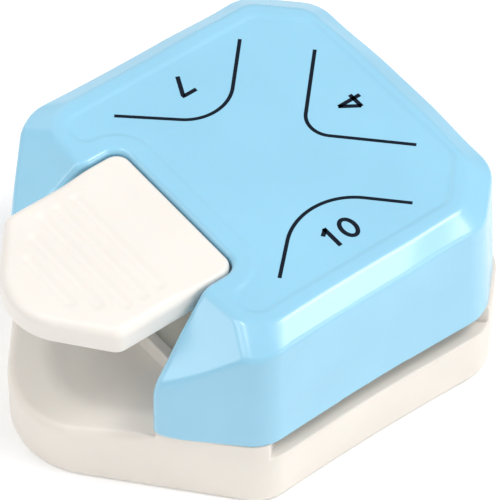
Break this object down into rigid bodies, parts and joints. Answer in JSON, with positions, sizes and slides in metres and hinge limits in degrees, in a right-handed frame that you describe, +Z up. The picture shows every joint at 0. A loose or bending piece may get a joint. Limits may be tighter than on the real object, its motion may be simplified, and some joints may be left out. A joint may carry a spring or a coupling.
{
  "type": "craft punch",
  "caption": "Hand punch that rounds paper corners: a thumb lever drives a ram with cutters into dies, with paper slots on the sides and at the rear.",
  "frame": {"origin": "bottom centre of the whole object's box, on the surface that the foot pads stand on", "axes": "+Z up, the thumb lever points to -Y, +X to the right of a user who faces the lever from the front and looks along +Y"},
  "size_m": [0.075, 0.0914, 0.0442],
  "materials": {
    "base_plastic": "satin warm white moulded plastic",
    "cover_plastic": "glossy light blue moulded plastic",
    "lever_plastic": "satin warm white moulded plastic",
    "inner_plastic": "plain off-white moulded plastic",
    "tool_steel": "ground tool steel",
    "bright_steel": "bright drawn and pressed steel",
    "spring_steel": "drawn spring wire",
    "screw_steel": "zinc-plated steel",
    "foot_rubber": "matt anti-slip rubber",
    "ink": "printed dark ink"
  },
  "bodies": {
    "housing": {"base_shell": "base_plastic", "bottom_plate": "base_plastic", "foot_pads": "foot_rubber", "guide_frame": "inner_plastic", "top_cover": "cover_plastic", "lever_pin": "bright_steel", "guide_posts": "bright_steel", "return_spring_left": "spring_steel", "return_spring_right": "spring_steel", "die_r4": "tool_steel", "die_r7": "tool_steel", "die_r10": "tool_steel", "guide_plate_r4": "bright_steel", "guide_plate_r7": "bright_steel", "guide_plate_r10": "bright_steel", "cover_screws": "screw_steel", "frame_screws": "screw_steel", "die_screws": "screw_steel"},
    "lever": {"lever": "lever_plastic"},
    "ram": {"ram": "inner_plastic", "wear_plate": "bright_steel", "punch_r4": "tool_steel", "punch_r7": "tool_steel", "punch_r10": "tool_steel"},
    "waste_door": {"waste_door": "base_plastic"}
  },
  "joints": [
    {"name": "lever_hinge", "type": "hinge", "parent": "housing", "child": "lever", "pos_m": [0, 0.03565, 0.035], "axis": [1, 0, 0], "range_deg": [0, 13.1], "stiffness_Nm_per_rad": 0.58, "springref_deg": -10.31},
    {"name": "ram_slide", "type": "slide", "parent": "housing", "child": "ram", "axis": [0, 0, -1], "range_m": [0, 0.005], "stiffness_N_per_m": 60, "springref_m": -0.006, "deforming": ["return_spring_left", "return_spring_right"]},
    {"name": "waste_door_hinge", "type": "hinge", "parent": "housing", "child": "waste_door", "pos_m": [0, 0.03365, 0.0016], "axis": [1, 0, 0], "range_deg": [0, 80]}
  ],
  "couplings": [
    {"joint": "lever_hinge", "follows": "ram_slide", "rad_per_m": 45.455}
  ]
}
